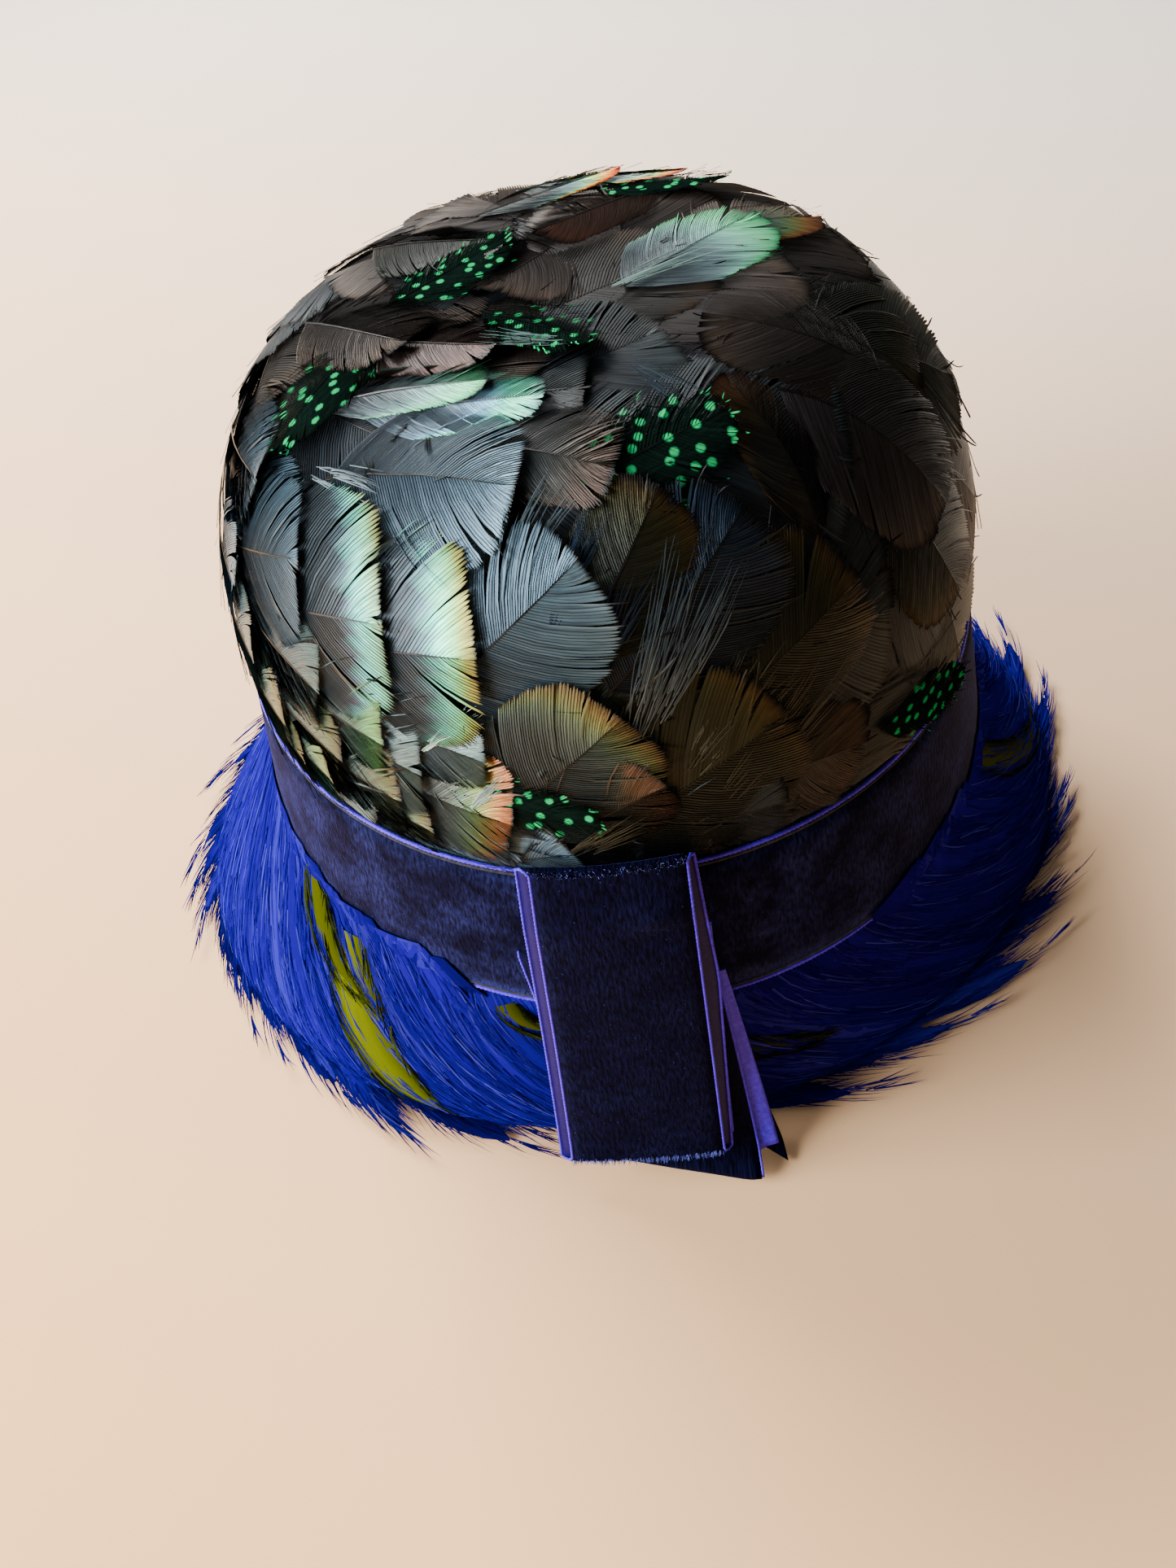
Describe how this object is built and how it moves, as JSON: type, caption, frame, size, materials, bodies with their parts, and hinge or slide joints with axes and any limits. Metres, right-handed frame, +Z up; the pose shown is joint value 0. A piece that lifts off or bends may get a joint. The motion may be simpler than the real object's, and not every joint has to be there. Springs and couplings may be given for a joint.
{
  "type": "cloche hat",
  "caption": "Feather-covered cloche hat with a rounded deep crown, a flared hackle brim, a velvet ribbon band and a flat folded bow hanging at the back.",
  "frame": {"origin": "middle of the hat's outline in the plane of the brim's rim, which rests on z = 0", "axes": "+Z up through the crown, +Y towards the wearer's front, -Y towards the back where the bow hangs, +X towards the wearer's right"},
  "size_m": [0.2607, 0.2504, 0.1696],
  "materials": {
    "felt_base": "matt felt over a stiff shape",
    "crown_feather": "glossy iridescent feather, charcoal with mint, gold and copper lights",
    "blue_hackle": "soft royal blue hackle feather",
    "spotted_feather": "near-black feather with rows of emerald dots",
    "chartreuse_hackle": "soft yellow-green hackle feather",
    "velvet_ribbon": "deep midnight-blue velvet pile",
    "satin_ribbon": "purple satin"
  },
  "bodies": {
    "root": {"crown_base": "felt_base", "brim_base": "felt_base", "crown_feathers": "crown_feather", "brim_feathers": "blue_hackle", "band_velvet": "velvet_ribbon", "band_edge_upper": "satin_ribbon", "band_edge_lower": "satin_ribbon", "bow_front_loop": "velvet_ribbon", "bow_satin_tail": "satin_ribbon", "bow_under_loop": "velvet_ribbon", "bow_velvet_tail": "velvet_ribbon", "spotted_feather_1": "spotted_feather", "spotted_feather_2": "spotted_feather", "spotted_feather_3": "spotted_feather", "spotted_feather_4": "spotted_feather", "spotted_feather_5": "spotted_feather", "spotted_feather_6": "spotted_feather", "spotted_feather_7": "spotted_feather", "chartreuse_feather_1": "chartreuse_hackle", "chartreuse_feather_2": "chartreuse_hackle", "chartreuse_feather_3": "chartreuse_hackle", "chartreuse_feather_4": "chartreuse_hackle", "chartreuse_feather_5": "chartreuse_hackle"}
  },
  "joints": []
}
